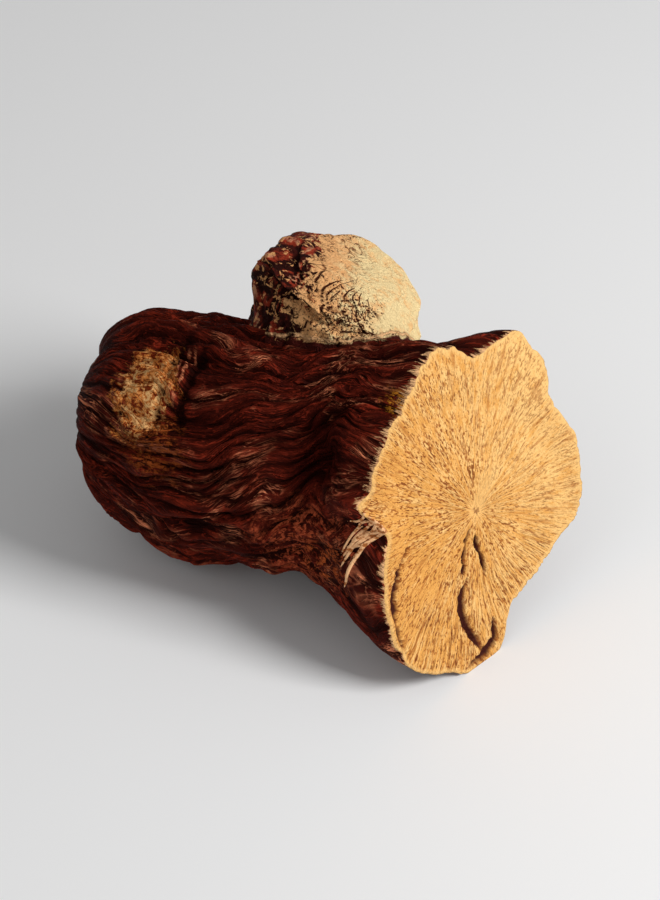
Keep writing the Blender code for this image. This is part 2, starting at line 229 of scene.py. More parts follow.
def plain_reach(angle, t):
    """The body's reach without its ridges, and how far it has turned into the face's outline, from 0 to 1."""
    reach = through(STATIONS, GIRTHS, t)
    for place, degrees, height, size in SWELLINGS:
        reach += height * np.exp(-(across_from(angle, degrees) ** 2 + (t - place) ** 2) / size**2)
    off_lobe = wrapped(angle - np.radians(LOBE_ANGLE)) / np.radians(LOBE_SPREAD)
    fade = RIM_FADE + (LOBE_FADE - RIM_FADE) * np.exp(-(off_lobe**2))
    to_face = smoothstep(1 + t / fade)
    return reach * (1 - to_face) + face_reach(angle) * to_face, to_face


def bark_reach(angle, turn, t):
    """How far the bark is from the body's middle line at t mm along it, and its height from 0 to 1.

    Ridges, creases, lumps and the rim's teeth stand on the plain shape, whose far end is rounded off."""
    reach, to_face = plain_reach(angle, t)
    cap_end = CAP_LENGTH - BODY_LENGTH
    into_cap = np.clip((cap_end - t) / CAP_LENGTH, 0, 1)
    closing = (1 - into_cap**CAP_BLUNTNESS) ** (1 / CAP_BLUNTNESS)
    ridges, wrinkles = furrowed(turn, t, FURROWS), furrowed(waved(turn, t), t, WRINKLES)
    crest = PLAIN_HEIGHT + FURROW_SHOW * ridges + WRINKLE_SHOW * wrinkles
    ridges = ridges + wrinkles
    for place, degrees, depth in CREASES:
        groove = np.clip(1 - np.abs(t - place) / CREASE_HALF_WIDTH, 0, 1)
        groove *= np.exp(-((across_from(angle, degrees) / CREASE_REACH) ** 2))
        ridges, crest = ridges - depth * groove, crest - depth * groove
    for size, height, seed in PITS:
        cells = int(2 * np.pi * MEAN_GIRTH / size)
        ridges = ridges + height * (random_field(turn * cells, t / size, cells, seed) - 0.5)
    standing = ridges * closing**2 * (1 - (1 - RIDGES_LEFT_AT_RIM) * to_face)
    torn_side = smoothstep(0.5 + np.cos(angle - np.radians(RAGGED_SIDE)))
    near_rim = smoothstep(1 + t / RAGGED_LENGTH) * (LEAST_RAGGED + (1 - LEAST_RAGGED) * torn_side)
    for teeth, depth, seed in RIM_RAGGEDNESS:
        tooth = random_field(turn * teeth, t * 0, teeth, seed) - TOOTH_MIDDLE
        standing = standing + near_rim * depth * tooth
    return (reach + standing) * closing, crest


def crack_depth(y, z):
    """How deep in a drying crack each point of the face is: 0 outside it and 1 along its middle."""
    deep = np.zeros_like(y)
    raggedness, size, seed = CRACK_EDGE
    ragged = raggedness * (flat_field(y, z, size, seed) - 0.5)
    for points, half_width in CRACKS:
        nearest, share = np.full_like(y, np.inf), np.zeros_like(y)
        for i, (start, end) in enumerate(zip(points[:-1], points[1:])):
            step_y, step_z = end[0] - start[0], end[1] - start[1]
            s = ((y - start[0]) * step_y + (z - start[1]) * step_z) / (step_y**2 + step_z**2)
            s = np.clip(s, 0, 1)
            off = np.hypot(y - start[0] - s * step_y, z - start[1] - s * step_z)
            share = np.where(off < nearest, (i + s) / (len(points) - 1), share)
            nearest = np.minimum(off, nearest)
        width = half_width * (CRACK_TIP + (1 - CRACK_TIP) * np.sin(np.pi * share))
        deep = np.maximum(deep, np.clip(1 - (nearest + ragged) / width, 0, 1))
    return deep


def face_relief(y, z, inward):
    """Depth of the sawn face under its plane, in mm: a shallow dish, cracks, and rays of fibres."""
    depth = FACE_DISH * smoothstep(inward * DISH_RATE)
    y, z = y - PITH[0], z - PITH[1]
    angle, off_pith = np.arctan2(z, y), np.hypot(y, z)
    cracked = crack_depth(y, z) * smoothstep(inward * CRACK_RATE)
    for rays, height, seed in FACE_RAYS:
        ray = random_field(angle / (2 * np.pi) * rays, off_pith / RAY_LENGTH, rays, seed) - 0.5
        depth = depth + height * ray * smoothstep(off_pith / RAYS_FROM)
    return (depth + CRACK_DEPTH * cracked) * (inward > 0), cracked


def cap_relief(y, z, into_cap):
    """How far the broken far end is pushed in along X, in mm: lumps, and a shallow dish."""
    (dish_y, dish_z), size, depth = CAP_DISH
    pushed = depth * np.exp(-((y - dish_y) ** 2 + (z - dish_z) ** 2) / size**2)
    for size, height, seed in CAP_LUMPS:
        pushed += height * (flat_field(y, z, size, seed) - 0.5)
    return pushed * smoothstep(into_cap)


def leaned(y, z, t):
    """Points of the body from their places in its rings, which lean to the sawn face and sway."""
    x = t + smoothstep(1 + t / LEAN_LENGTH) * (FACE_SLOPES[0] * y + FACE_SLOPES[1] * z)
    return np.stack([x, y + through(STATIONS, SWAYS, t), z + through(STATIONS, RISES, t)], axis=-1)


def body(source, share):
    """The body: the rings of a ball shared out over its far cap, its bark and its sawn face."""
    ring = share * N_BODY
    cap = np.clip(ring / N_CAP, 0, 1)
    bark = np.clip((ring - N_CAP) / N_BARK, 0, 1)
    inward = np.clip((ring - N_CAP - N_BARK) / N_FACE, 0, 1)
    t = bark * (BODY_LENGTH - CAP_LENGTH) - BODY_LENGTH + CAP_LENGTH * (1 - np.cos(cap * np.pi / 2))
    angle = along_grain(source, t)
    turn = source / (2 * np.pi)
    reach, height = bark_reach(angle, turn, t)
    y = reach * (1 - inward) * np.cos(angle) + PITH[0] * inward
    z = reach * (1 - inward) * np.sin(angle) + PITH[1] * inward
    points = leaned(y, z, t)
    sunk, cracked = face_relief(y, z, inward)
    points[..., 0] += cap_relief(y, z, 1 - cap) - sunk
    height = np.where(bark < 1, height, 1 - cracked)
    across = round_axis(waved(turn, t) * 2 * np.pi, MEAN_GIRTH)
    return points, across, np.stack([t + inward * reach, height], axis=-1)


def round_axis(angle, girth):
    """The point at each angle on a circle of a girth."""
    return np.stack([np.cos(angle), np.sin(angle)], axis=-1) * girth


def placed(points):
    """Millimetres from the middle of the sawn face to metres from the origin."""
    return (points + np.array(FACE_FROM_ORIGIN)) * MM


def skin_faces(columns, rows):
    """The faces of a closed skin, and the row of each: quads between its rings, and a fan at each pole."""
    left = np.arange(columns)
    right = (left + 1) % columns
    step = np.arange(rows - 2)[:, None] * columns
    quads = np.stack([step + left, step + right, step + columns + right, step + columns + left], axis=-1)
    start, end, last_row = (rows - 1) * columns, (rows - 1) * columns + 1, (rows - 2) * columns
    start_fan = np.stack([left * 0 + start, right, left], axis=-1)
    end_fan = np.stack([left * 0 + end, last_row + left, last_row + right], axis=-1)
    face_row = np.concatenate([np.repeat(np.arange(1, rows - 1), columns), left * 0, left * 0 + rows - 1])
    return quads.reshape(-1, 4).tolist() + start_fan.tolist() + end_fan.tolist(), face_row


def closed_skin(name, columns, rows, shape, slot_of_row):
    """A closed surface of columns round an axis and rows from pole to pole, from shape(angle, share).

    UV map round holds where the grain is round the axis, as a point on a circle of the part's girth. UV map
    along holds the distance along the grain and the bark's height. All are in mm but the height, which goes
    from 0 to 1, and under 0 in the stump's gaps."""
    shares = np.arange(rows + 1) / rows
    angle, share = np.meshgrid(wrapped(np.arange(columns) * 2 * np.pi / columns), shares)
    points, across, along = shape(angle, share)
    verts = np.concatenate([points[1:-1].reshape(-1, 3), points[[0, -1], 0]])
    faces, face_row = skin_faces(columns, rows)
    mesh = bpy.data.meshes.new(name)
    mesh.from_pydata(placed(verts), [], faces)
    for material in (bark, sawn_face, stump_skin, sawn_end):
        mesh.materials.append(material)
    mesh.polygons.foreach_set("material_index", slot_of_row(face_row).astype(np.int32))
    corner_vert = np.empty(len(mesh.loops), np.int32)
    mesh.loops.foreach_get("vertex_index", corner_vert)
    for layer, grid in (("round", across), ("along", along)):
        poles = grid[[1, -2]].mean(axis=1)
        values = np.concatenate([grid[1:-1].reshape(-1, 2), poles])
        uv = mesh.uv_layers.new(name=layer)
        uv.data.foreach_set("uv", values[corner_vert].ravel().astype(np.float32))
    mesh.validate()
    obj = bpy.data.objects.new(name, mesh)
    bpy.context.scene.collection.objects.link(obj)
    return obj


def slots_of_body(row):
    """Bark as far as the rim, and then the sawn face."""
    return np.where(row >= N_CAP + N_BARK, SAWN_FACE, BARK)


class Value:
    """A socket in a material's nodes. Arithmetic on it adds Math nodes, with numbers on either side."""

    def __init__(self, finish, socket):
        self.finish, self.socket = finish, socket

    def math(self, operation, *values):
        """A Math node's result on sockets or numbers."""
        return self.finish.node("ShaderNodeMath", {"operation": operation}, dict(enumerate(values)))

    def __add__(self, other):
        return self.math("ADD", self, other)

    def __sub__(self, other):
        return self.math("SUBTRACT", self, other)

    def __rsub__(self, other):
        return self.math("SUBTRACT", other, self)

    def __mul__(self, other):
        return self.math("MULTIPLY", self, other)

    def __truediv__(self, other):
        return self.math("DIVIDE", self, other)

    def __pow__(self, other):
        return self.math("POWER", self, other)

    def __abs__(self):
        return self.math("ABSOLUTE", self)

    __radd__, __rmul__ = __add__, __mul__


class Finish:
    """A material under construction. node() adds any node, and the rest are its short forms."""

    def __init__(self, name):
        self.material = bpy.data.materials.new(name)
        self.material.use_nodes = True
        self.shader = self.material.node_tree.nodes["Principled BSDF"]

    def node(self, kind, settings, sockets, output=0):
        """A node of a kind: first its settings, such as its operation, then its sockets' values or links."""
        node = self.material.node_tree.nodes.new(kind)
        for key, setting in settings.items():
            setattr(node, key, setting)
        self.connect(node, sockets)
        return Value(self, node.outputs[output])

    def connect(self, node, sockets):
        """Puts a value or a link on each of a node's sockets that is named."""
        for key, value in sockets.items():
            if isinstance(value, Value):
                self.material.node_tree.links.new(value.socket, node.inputs[key])
            else:
                node.inputs[key].default_value = value

    def finished(self, tone, roughness, normal=None, specular=0.5):
        """The material, with its colour and, if it has a relief, its normal on the shader."""
        sockets = {"Base Color": tone, "Roughness": roughness, "Specular IOR Level": specular}
        self.connect(self.shader, sockets if normal is None else {**sockets, "Normal": normal})
        return self.material

    def stretched(self, vector, scale):
        """A vector whose three parts are multiplied. Under 1 draws a pattern out that way."""
        return self.node("ShaderNodeVectorMath", {"operation": "MULTIPLY"}, {0: vector, 1: scale})

    def noise(self, vector, scale, detail=3.0, roughness=0.55, distortion=0.0):
        """Noise from 0 to 1 whose lumps are about 1 / scale across, in the vector's own units."""
        sockets = {"Vector": vector, "Scale": scale, "Detail": detail, "Roughness": roughness}
        return self.node("ShaderNodeTexNoise", {}, {**sockets, "Distortion": distortion})

    def rise(self, value, low, high):
        """0 where a value is low, 1 where it is high, and a smooth rise between. Low may be the larger."""
        limits = {"Value": value, "From Min": low, "From Max": high}
        return self.node("ShaderNodeMapRange", {"interpolation_type": "SMOOTHSTEP"}, limits)

    def threads(self, vector, scale, thinness, distortion=0.6):
        """Thin lines, 1 along the middle and 0 beside them: where noise passes through its middle value."""
        return self.rise(abs(self.noise(vector, scale, 2.0, 0.5, distortion) - 0.5), thinness, 0.0)

    def tinted(self, mask, under, over):
        """One colour laid over another where the mask is 1."""
        settings = {"data_type": "RGBA"}
        return self.node("ShaderNodeMix", settings, {0: mask, 6: under, 7: over}, output=2)

    def bumped(self, height, distance):
        """A normal for a height from 0 to 1 that stands a distance in mm."""
        return self.node("ShaderNodeBump", {}, {"Height": height, "Distance": distance * MM, "Strength": 1.0})

    def object_mm(self, centre):
        """Object coordinates in mm from a point that is given from the middle of the sawn face."""
        place = self.node("ShaderNodeTexCoord", {}, {}, output=3)
        millimetres = self.stretched(place, (1 / MM,) * 3)
        from_origin = [a + b for a, b in zip(centre, FACE_FROM_ORIGIN)]
        return self.node("ShaderNodeVectorMath", {"operation": "SUBTRACT"}, {0: millimetres, 1: from_origin})

    def parts(self, vector):
        """A vector's X, Y and Z."""
        return [self.node("ShaderNodeSeparateXYZ", {}, {0: vector}, output=i) for i in range(3)]

    def joined(self, x, y, z):
        """A vector of three parts."""
        return self.node("ShaderNodeCombineXYZ", {}, {0: x, 1: y, 2: z})

    def distance(self, vector):
        """A vector's length."""
        return self.node("ShaderNodeVectorMath", {"operation": "LENGTH"}, {0: vector}, output=1)

    def distance_from(self, centre):
        """The distance in mm from a point that is given as for object_mm."""
        return self.distance(self.object_mm(centre))

    def grain(self):
        """The grain's own space in mm, round the axis in X and Y and along it in Z, then Z and the height."""
        round_x, round_y, _ = self.parts(self.node("ShaderNodeUVMap", {"uv_map": "round"}, {}))
        along, height, _ = self.parts(self.node("ShaderNodeUVMap", {"uv_map": "along"}, {}))
        return self.joined(round_x, round_y, along), along, height


def colour(red, green, blue):
    """A colour as a shader takes it, from its values from 0 to 255 on a screen."""
    screen = np.array([red, green, blue]) / 255
    linear = np.where(screen <= 0.04045, screen / 12.92, ((screen + 0.055) / 1.055) ** 2.4)
    return (*(float(value) for value in linear), 1.0)


FURROW_SHADE_BROWN = colour(42, 6, 1)
BARK_BROWN = colour(68, 16, 7)
RIDGE_RED = colour(148, 48, 28)
TAN_AND_HIGHLIGHT = colour(252, 150, 106)
OCHRE_BROWN = colour(180, 88, 36)
RUBBED_RED = colour(204, 94, 58)
SCAR_BROWN = colour(140, 50, 16)
SCAR_GOLD = colour(236, 144, 70)
SCAR_BEIGE = colour(255, 198, 130)
RIM_GOLD = colour(255, 164, 44)
FIBRE_CREAM = colour(246, 190, 136)
SCAR_MIDDLE, SCAR_SIZE, SCAR_STRETCH = (-46.6, -9.9, 13.9), 5.2, (1.2, 0.7, 0.7)  # the bud scar
END_FROM = -60.4  # the far end broke off an older root, from here along
CREASE_MIDDLE, CREASE_LINES = (-42.2, -6.6, 15.4), (-42.7, -41.6)  # pale lines beside the scar: worn edges, partly painted highlight
# Places where the bark is rubbed paler, with their sizes and colours, and places where painted shade dims its
# threads
RUBBED_SPOTS = (
    ((-43.6, -15.6, 8.4), 5.5, OCHRE_BROWN),
    ((-19.0, -17.0, -2.4), 7.5, RUBBED_RED),
    ((-16.6, -17.6, -3.6), 4.0, OCHRE_BROWN),
    ((-10.6, -2.9, 17.4), 2.2, RIM_GOLD),
)
PAINTED_SHADE_SPOTS = (
    ((-21.0, -8.9, 7.5), 8.5),
    ((-34.0, -13.0, 4.5), 5.0),
    ((-37.0, -8.6, 15.2), 4.0),
    ((-15.1, -10.4, 6.9), 4.0),
)


def bark_finish():
    """Bark: dark furrows partly of painted shade, red-brown ridges, tan threads partly of painted highlight.
    """
    finish = Finish("bark")
    rise, tinted = finish.rise, finish.tinted
    space, along, height = finish.grain()
    place = finish.object_mm((0.0, 0.0, 0.0))

    def drawn(share):
        """The grain's space, to draw patterns out along it."""
        return finish.stretched(space, (1.0, 1.0, share))

    strands = finish.threads(drawn(0.12), 0.8, 0.035)
    hairs = finish.threads(drawn(0.12), 2.3, 0.05)
    fleck = finish.noise(drawn(0.25), 1.8, 4.0, 0.65, 0.8)
    fibre = finish.noise(drawn(0.14), 2.4, 4.0, 0.7, 0.4)
    broad = finish.noise(drawn(0.5), 0.22, 3.0)
    patch = rise(finish.noise(drawn(0.4), 0.4, 3.0), 0.42, 0.60)
    ragged = finish.noise(place, 0.35, 4.0, 0.7) - 0.5
    spot = finish.noise(place, 1.1, 5.0, 0.7, 0.8)

    # furrows dark with painted shade, ridges, and pale threads and ridge tops, partly painted highlight
    among = height + 0.4 * (fleck - 0.5) + 0.7 * (fibre - 0.5)
    tone = tinted(rise(among, 0.42, 0.72), FURROW_SHADE_BROWN, BARK_BROWN)
    tone = tinted(rise(among, 0.64, 0.84) * (patch * 0.35 + 0.05), tone, RIDGE_RED)
    thread = tinted(rise(broad, 0.52, 0.66), RIDGE_RED, TAN_AND_HIGHLIGHT)
    crest = rise(among, 0.74, 0.86) * 0.3 + strands + hairs * 0.9
    # painted shade: the pale threads are dimmed round these spots, as in the hollow behind the rim
    for middle, size in PAINTED_SHADE_SPOTS:
        near = rise(finish.distance_from(middle) / size + ragged, 1.1, 0.7)
        crest = crest * (1 - 0.5 * near)
    tone = tinted(crest * (patch * 0.7 + 0.4) * rise(height, 0.35, 0.60), tone, thread)

    # the pale lines on the creases beside the bud scar: worn edges, partly painted highlight
    near_crease = rise(finish.distance_from(CREASE_MIDDLE) + 4.0 * ragged, 5.5, 3.5)
    for line in CREASE_LINES:
        pale_crease_line = rise(abs(along - line + 2.0 * ragged), 0.36, 0.10) * rise(fleck, 0.42, 0.52)
        tone = tinted(pale_crease_line * near_crease * 0.8, tone, TAN_AND_HIGHLIGHT)

    # the broken far end, and the rubbed places
    broken = rise(along + 2.5 * ragged, END_FROM + 0.8, END_FROM - 0.8)
    rough = tinted(rise(spot, 0.44, 0.58), BARK_BROWN, RIDGE_RED)
    rough = tinted(rise(spot, 0.58, 0.68) * 0.7, rough, OCHRE_BROWN)
    tone = tinted(broken, tone, rough)
    for middle, size, rubbed in RUBBED_SPOTS:
        near = rise(finish.distance_from(middle) / size + 2.0 * ragged, 1.2, 0.6)
        tone = tinted(near * rise(spot + fleck - 0.5, 0.46, 0.62) * 0.75, tone, rubbed)

    # the bud scar, and the pale fibres that show just behind the rim
    off_scar = finish.distance(finish.stretched(finish.object_mm(SCAR_MIDDLE), SCAR_STRETCH)) / SCAR_SIZE
    scar = rise(off_scar + 2.0 * ragged + 1.2 * (fleck - 0.5), 1.15, 0.85)
    tone = tinted(scar * 0.8, tone, SCAR_BROWN)
    mottled = spot + 0.5 * (fleck - 0.5)
    tone = tinted(scar * rise(mottled, 0.40, 0.52), tone, SCAR_GOLD)
    tone = tinted(scar * rise(mottled + 0.6 * ragged, 0.49, 0.59), tone, SCAR_BEIGE)
    tone = tinted(rise(fibre + 0.16 * along, 0.41, 0.49), tone, FIBRE_CREAM)

    relief = strands * 0.6 + hairs * 0.5 + fleck * 0.5 + fibre * 1.3 + scar * spot * 0.8
    return finish.finished(tone, 0.62, finish.bumped(relief, 0.65), 0.04)


bark = bark_finish()

# The sawn face cuts the root across at a slant. It is bare wood, pale ochre, with fibres that run out from
# its pith. It cracked as it dried, and its cracks are partly darker wood, partly painted shade. body() gave
# its shape.
WOOD_OCHRE = colour(230, 164, 82)
PALE_WOOD_AND_HIGHLIGHT = colour(248, 198, 124)
WOOD_DARK = colour(172, 98, 34)
DASH_AND_SHADE_BROWN = colour(112, 50, 12)
CRACK_SHADE_BROWN = colour(66, 20, 8)
FIRST_DASHES, DASH_LENGTH = 10.0, 0.7  # how fine its dashes are at the pith, and how long anywhere
DASH_BANDS = ((24.0, 2.0, 4.5), (48.0, 6.0, 10.0), (84.0, 12.0, 17.0))  # further out: how fine, from where
LOBE_FROM = -5.0  # the lobe's longer streaks start this far under the pith
BAND_ACROSS, BAND_LENGTH = (0.83, 0.56), 9.0  # a band of painted highlight runs this way from the pith


def sawn_finish():
    """Sawn wood: dashes and rays from the pith, dark cracks partly painted shade, a pale edge partly painted
    highlight.
    """
    finish = Finish("sawn_face")
    rise, tinted = finish.rise, finish.tinted
    _, from_rim, height = finish.grain()
    place = finish.object_mm((0.0, *PITH))
    _, y, z = finish.parts(place)
    off_pith = (y * y + z * z) ** 0.5
    toward_y, toward_z = y / (off_pith + 0.01), z / (off_pith + 0.01)

    def rays(fineness, length, *shape):
        """Noise in streaks that run out from the pith: how fine they are round it, and how long in mm."""
        streaks = finish.joined(toward_y * fineness, toward_z * fineness, off_pith / length)
        return finish.noise(streaks, 1.0, *shape)

    wide = rays(4.0, 8.0)
    narrow = rays(20.0, 2.4, 3.0, 0.6)
    line = rays(34.0, 5.0, 2.0, 0.5, 0.4)
    streak = rays(64.0, 3.5, 3.0, 0.6, 0.3)
    speckle = finish.noise(place, 3.0, 3.0, 0.6)
    dashes = rays(FIRST_DASHES, DASH_LENGTH, 2.0, 0.6, 0.3)
    for fineness, start, end in DASH_BANDS:
        further = rise(off_pith, start, end)
        dashes = dashes * (1 - further) + rays(fineness, DASH_LENGTH, 2.0, 0.6, 0.3) * further

    # the wood, its fine lines and its dashes, fainter to the right
    strength = 1 - 0.45 * rise(y, 1.0, 10.0)
    clear = rise(off_pith, 0.5, 2.5)
    paleness = narrow * 0.5 + speckle * 0.2 + wide * 0.3 + y * 0.004
    tone = tinted(rise(paleness, 0.42, 0.60), WOOD_OCHRE, PALE_WOOD_AND_HIGHLIGHT)
    tone = tinted(rise(line, 0.54, 0.66) * clear * 0.5, tone, WOOD_DARK)
    uneven = (wide - 0.5) * 0.2 + (narrow - 0.5) * 0.25
    tone = tinted(rise(dashes + uneven, 0.50, 0.59) * strength * 0.85, tone, WOOD_DARK)
    tone = tinted(rise(dashes + uneven, 0.58, 0.67) * strength * 0.7, tone, DASH_AND_SHADE_BROWN)

    # the lobe's longer streaks, the pale ones partly painted highlight, and a band of painted highlight
    lobe = rise(z, LOBE_FROM, LOBE_FROM - 5.0)
    tone = tinted(lobe * rise(streak, 0.52, 0.60) * 0.75, tone, PALE_WOOD_AND_HIGHLIGHT)
    tone = tinted(lobe * rise(streak, 0.46, 0.37) * 0.6, tone, DASH_AND_SHADE_BROWN)
    along_y, along_z = BAND_ACROSS
    # painted highlight: a pale band out from the pith
    highlight_band = rise(abs(y * along_z - z * along_y) + (speckle - 0.5) * 1.5, 1.7, 0.5)
    reached = y * along_y + z * along_z
    highlight_band = highlight_band * rise(reached, -2.5, 0.5) * rise(reached, BAND_LENGTH, BAND_LENGTH - 4.0)
    tone = tinted(highlight_band * 0.5, tone, PALE_WOOD_AND_HIGHLIGHT)

    # the pale edge, partly painted highlight, the pith, and the cracks, dark partly with painted shade
    tone = tinted(rise(from_rim + speckle - 0.5, 0.9, 0.2) * 0.7, tone, PALE_WOOD_AND_HIGHLIGHT)
    tone = tinted(rise(off_pith + (speckle - 0.5) * 2.0, 0.7, 0.2) * 0.7, tone, DASH_AND_SHADE_BROWN)
    # painted shade in the cracks, darker towards their middles
    tone = tinted(rise(height + 0.3 * (speckle - 0.5), 0.97, 0.85) * 0.6, tone, DASH_AND_SHADE_BROWN)
    tone = tinted(rise(height + 0.4 * (narrow - 0.5), 0.86, 0.62), tone, CRACK_SHADE_BROWN)

    normal = finish.bumped((narrow * 0.4 + (1 - dashes) * 0.8) * clear + speckle * 0.3, 0.45)
    return finish.finished(tone, 0.8, normal, 0.2)


sawn_face = sawn_finish()

# The stem stump is the foot of a stem that was broken off above the crown. It is ringed and scaly with the
# bases of old leaves, dark where they cling and bare and pale where they have fallen.
STEM_LINE = ((-26.5, 3.0, 1.0), (-28.0, 11.0, 9.0), (-26.3, 16.9, 15.8), (-24.2, 18.3, 20.2))
STEM_GIRTHS = (9.0, 11.6, 13.5, 13.3)
STEM_BLUNTNESS = 0.53
STEM_LUMPS = ((5, 5, 0.16, 275), (11, 9, 0.20, 10), (30, 26, 0.05, 33))  # round and along, depth, seed
STEM_RINGS = (7, 0.06)  # the scars of old leaves run round it: how many rings, and their depth against girth
STUMP_LENGTH = 34.0  # over its surface, from its root to its top
STUMP_MIDDLE = (-26.0, 15.5, 15.5)
PALE_SIDE = (0.96, 0.18, -0.21)  # towards its bare side
N_SCALES, SCALE_SIZES, SCALE_SEED = 1000, (0.6, 1.7), 35
SCALE_DEPTH, SCALE_TILT = 0.09, 0.35  # against the girth, and how much less deep at a scale's lower edge
SCALES_GONE = 0.75  # the share of their depth that the bare side has lost
FOLD_MIDDLE, FOLD_REACH, FOLD_FADE = (-26.2, 7.0, 21.4), 10.5, 3.0  # where its skin is folded
FOLDS, FOLD_LENGTHS, FOLD_SEED = 36, 16, 37  # how many folds fit round and along the stump, and their seed
FOLD_STRAY = (4.0, 18, 14)  # they stray by so many folds, and change course so often round and along it
FOLD_GAP, FOLD_DEPTH = 0.5, 0.08  # how wide the gaps between them are, and how deep against the girth
FOOT_PLACE, FOOT_REACH, FOOT_RISE = -24.0, 17.4, 0.2  # the bark's reach at its foot, and its slope
PORE_MIDDLE = (-20.6, 7.8, 20.4)  # the middle of its dark pores
PALE_CREAM = colour(255, 226, 166)
PEACH_AND_WARM_SHADE = colour(242, 174, 112)
SCALE_RED = colour(164, 56, 32)
SCALE_TOP_HIGHLIGHT = colour(232, 164, 122)
PORE_AND_GAP_SHADE_BROWN = colour(70, 28, 10)
N_STUMP_AROUND, N_STUMP_ALONG = 250, 104


def unit(vectors):
    """Each vector at a length of 1."""
    return vectors / np.linalg.norm(vectors, axis=-1, keepdims=True)


def carried(angle, at, line, girths):
    """A smooth line's points, girths and outward directions at each angle, at = 0 to 1 from start to end."""
    steps = np.linspace(0, 1, len(line))
    centre = through(steps, line, at)
    before, after = np.clip(at - 0.01, 0, 1), np.clip(at + 0.01, 0, 1)
    ahead = unit(through(steps, line, after) - through(steps, line, before))
    side = unit(np.cross((1.0, 0.0, 0.0), ahead))
    over = np.cross(ahead, side)
    reach = through(steps, girths, at)
    return centre, reach, np.cos(angle)[..., None] * side + np.sin(angle)[..., None] * over


def scales(angle, share):
    """Height of the stump's scales from 0 to 1: domes strewn at random and tilted, one over another."""
    draw = np.random.default_rng(SCALE_SEED)
    height = np.zeros_like(angle)
    for _ in range(N_SCALES):
        middle, at, size = draw.uniform(-np.pi, np.pi), draw.uniform(0.05, 1.0), draw.uniform(*SCALE_SIZES)
        across = wrapped(angle - middle) * STEM_GIRTHS[-1] * np.sin(np.pi * share)
        along = (share - at) * STUMP_LENGTH
        dome = np.sqrt(np.clip(1 - (across**2 + along**2) / size**2, 0, 1))
        tilted = dome * (1 - SCALE_TILT + SCALE_TILT * along / size)
        height = np.maximum(height, tilted * draw.uniform(0.5, 1.0))
    return height


def fold_gaps(turn, share, points):
    """Depth from 0 to 1 of the gaps between folds: troughs of waves round the stump that stray and stop."""
    widths, around, along = FOLD_STRAY
    stray = widths * (random_field(turn * around, share * along, around, FOLD_SEED + 1) - 0.5)
    fold = turn * FOLDS + stray
    unbroken = smoothstep(4 * random_field(fold, share * FOLD_LENGTHS, FOLDS, FOLD_SEED) - 1.0)
    trough = np.clip(1 - np.abs(np.sin(np.pi * fold)) / FOLD_GAP, 0, 1)
    off_middle = np.linalg.norm(points - np.array(FOLD_MIDDLE), axis=-1)
    return trough * unbroken * smoothstep((FOLD_REACH - off_middle) / FOLD_FADE)


def stem_stump(angle, share):
    """The stump: a fat line with rings, lumps, scales and gaps in its skin, and a blunt broken top."""
    at = np.clip((1 - np.cos(share * np.pi)) / 2, 0, 1)
    centre, reach, outward = carried(angle, at, STEM_LINE, STEM_GIRTHS)
    turn = angle / (2 * np.pi)
    rings, ring_depth = STEM_RINGS
    relief = 1 - ring_depth * np.abs(np.cos(np.pi * rings * share + np.sin(angle)))
    for around, along, depth, seed in STEM_LUMPS:
        relief += depth * (random_field(turn * around, share * along, around, seed) - 0.5)
    scaly = scales(angle, share)
    bare = smoothstep(0.5 + outward @ np.array(PALE_SIDE))
    relief += SCALE_DEPTH * (scaly - 0.5) * (1 - SCALES_GONE * bare)
    closing = np.sin(np.pi * share) ** STEM_BLUNTNESS
    gaps = fold_gaps(turn, share, centre + outward * (reach * closing * relief)[..., None])
    points = centre + outward * (reach * closing * (relief - FOLD_DEPTH * gaps))[..., None]
    height = np.where(gaps > 0, -gaps, scaly)
    return points, round_axis(angle, STEM_GIRTHS[-1]), np.stack([share * STUMP_LENGTH, height], axis=-1)


